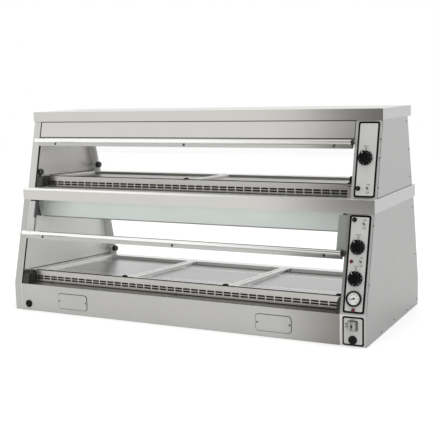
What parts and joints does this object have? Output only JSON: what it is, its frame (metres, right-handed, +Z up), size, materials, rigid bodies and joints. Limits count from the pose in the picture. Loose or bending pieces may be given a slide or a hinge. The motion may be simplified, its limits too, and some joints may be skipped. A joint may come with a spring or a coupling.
{
  "type": "heated display case",
  "caption": "Two-tier heated food display case in stainless sheet: sloped glazed tiers, lift-out pans on tilted decks, side control panel.",
  "frame": {"origin": "centre of the underside of the base", "axes": "+X along the case to the control side, +Y from the operator's side to the customer's side, +Z up"},
  "size_m": [1.46, 0.6631, 0.776],
  "materials": {
    "stainless": "brushed",
    "pan_steel": "bright pressed",
    "polished_steel": "polished",
    "control_plate": "satin",
    "black_plastic": "satin",
    "grey_plastic": "satin",
    "red_lens": "gloss",
    "dial": "satin",
    "heater": "oxidised",
    "lamp": "clear",
    "glass": "clear"
  },
  "bodies": {
    "case": {"base_pan": "stainless", "plinth_front_panel": "stainless", "access_plate_left": "stainless", "access_plate_right": "stainless", "cable_plug_left": "black_plastic", "isolator_plate": "control_plate", "cable_plug_right": "black_plastic", "lower_left_wall": "stainless", "lower_control_housing": "stainless", "lower_right_cover": "stainless", "lower_cap": "stainless", "lower_canopy": "stainless", "lower_heat_lamp": "lamp", "lower_rear_glass": "glass", "lower_rail": "polished_steel", "lower_deck": "pan_steel", "lower_vent_strip": "polished_steel", "lower_pan_bar_1": "pan_steel", "lower_pan_bar_2": "pan_steel", "lower_strip_end_left": "black_plastic", "lower_strip_end_right": "black_plastic", "lower_rear_knob_left": "black_plastic", "lower_rear_knob_right": "black_plastic", "lower_control_plate": "control_plate", "pilot_lamp_1": "red_lens", "pilot_lamp_2": "red_lens", "thermometer_case": "dial", "front_glass": "glass", "heater_loop": "heater", "upper_left_wall": "stainless", "upper_control_housing": "stainless", "upper_right_cover": "stainless", "upper_cap": "stainless", "upper_canopy": "stainless", "upper_heat_lamp": "lamp", "upper_rear_glass": "glass", "upper_rail": "polished_steel", "upper_deck": "pan_steel", "upper_vent_strip": "polished_steel", "upper_pan_bar_1": "pan_steel", "upper_strip_end_left": "black_plastic", "upper_strip_end_right": "black_plastic", "upper_rear_knob_left": "black_plastic", "upper_rear_knob_right": "black_plastic", "upper_control_plate": "control_plate"},
    "isolator_lever": {"isolator_lever": "grey_plastic"},
    "lower_pan_1": {"lower_pan_1": "pan_steel"},
    "lower_pan_2": {"lower_pan_2": "pan_steel"},
    "lower_pan_3": {"lower_pan_3": "pan_steel"},
    "lower_toggle_1": {"lower_toggle_1": "polished_steel"},
    "lower_toggle_2": {"lower_toggle_2": "polished_steel"},
    "lower_thermostat_knob_1": {"lower_thermostat_knob_1": "black_plastic"},
    "lower_thermostat_knob_2": {"lower_thermostat_knob_2": "black_plastic"},
    "lower_fuse_cap": {"lower_fuse_cap": "black_plastic"},
    "thermometer_needle": {"thermometer_needle": "black_plastic"},
    "upper_pan_1": {"upper_pan_1": "pan_steel"},
    "upper_pan_2": {"upper_pan_2": "pan_steel"},
    "upper_toggle_1": {"upper_toggle_1": "polished_steel"},
    "upper_thermostat_knob_1": {"upper_thermostat_knob_1": "black_plastic"},
    "upper_fuse_cap": {"upper_fuse_cap": "black_plastic"}
  },
  "joints": [
    {"name": "isolator_lever_turn", "type": "hinge", "parent": "case", "child": "isolator_lever", "pos_m": [0.68196, -0.3251, 0.0711], "axis": [0, 1, 0], "range_deg": [0, 90]},
    {"name": "lower_pan_1_lift", "type": "slide", "parent": "case", "child": "lower_pan_1", "axis": [0, 0.0626, 0.998], "range_m": [0, 0.08]},
    {"name": "lower_pan_2_lift", "type": "slide", "parent": "case", "child": "lower_pan_2", "axis": [0, 0.0626, 0.998], "range_m": [0, 0.08]},
    {"name": "lower_pan_3_lift", "type": "slide", "parent": "case", "child": "lower_pan_3", "axis": [0, 0.0626, 0.998], "range_m": [0, 0.08]},
    {"name": "lower_toggle_1_turn", "type": "hinge", "parent": "case", "child": "lower_toggle_1", "pos_m": [0.69802, -0.25015, 0.39927], "axis": [1, 0, 0], "range_deg": [0, 24]},
    {"name": "lower_toggle_2_turn", "type": "hinge", "parent": "case", "child": "lower_toggle_2", "pos_m": [0.69699, -0.28229, 0.27782], "axis": [1, 0, 0], "range_deg": [0, 24]},
    {"name": "lower_thermostat_knob_1_turn", "type": "hinge", "parent": "case", "child": "lower_thermostat_knob_1", "pos_m": [0.681, -0.26748, 0.32403], "axis": [0, 0.9667, -0.2558], "range_deg": [0, 270]},
    {"name": "lower_thermostat_knob_2_turn", "type": "hinge", "parent": "case", "child": "lower_thermostat_knob_2", "pos_m": [0.681, -0.29426, 0.22281], "axis": [0, 0.9667, -0.2558], "range_deg": [0, 270]},
    {"name": "lower_fuse_cap_turn", "type": "hinge", "parent": "case", "child": "lower_fuse_cap", "pos_m": [0.66302, -0.24416, 0.41217], "axis": [0, 0.9667, -0.2558], "range_deg": [0, 90]},
    {"name": "thermometer_needle_turn", "type": "hinge", "parent": "case", "child": "thermometer_needle", "pos_m": [0.68226, -0.31539, 0.15979], "axis": [0, 0.9667, -0.2558], "range_deg": [0, 180]},
    {"name": "upper_pan_1_lift", "type": "slide", "parent": "case", "child": "upper_pan_1", "axis": [0, 0.0321, 0.9995], "range_m": [0, 0.06]},
    {"name": "upper_pan_2_lift", "type": "slide", "parent": "case", "child": "upper_pan_2", "axis": [0, 0.0321, 0.9995], "range_m": [0, 0.06]},
    {"name": "upper_toggle_1_turn", "type": "hinge", "parent": "case", "child": "upper_toggle_1", "pos_m": [0.69403, -0.20224, 0.51216], "axis": [1, 0, 0], "range_deg": [0, 24]},
    {"name": "upper_thermostat_knob_1_turn", "type": "hinge", "parent": "case", "child": "upper_thermostat_knob_1", "pos_m": [0.67797, -0.17449, 0.61231], "axis": [0, 0.9699, -0.2437], "range_deg": [0, 270]},
    {"name": "upper_fuse_cap_turn", "type": "hinge", "parent": "case", "child": "upper_fuse_cap", "pos_m": [0.65999, -0.19981, 0.51155], "axis": [0, 0.9699, -0.2437], "range_deg": [0, 90]}
  ]
}
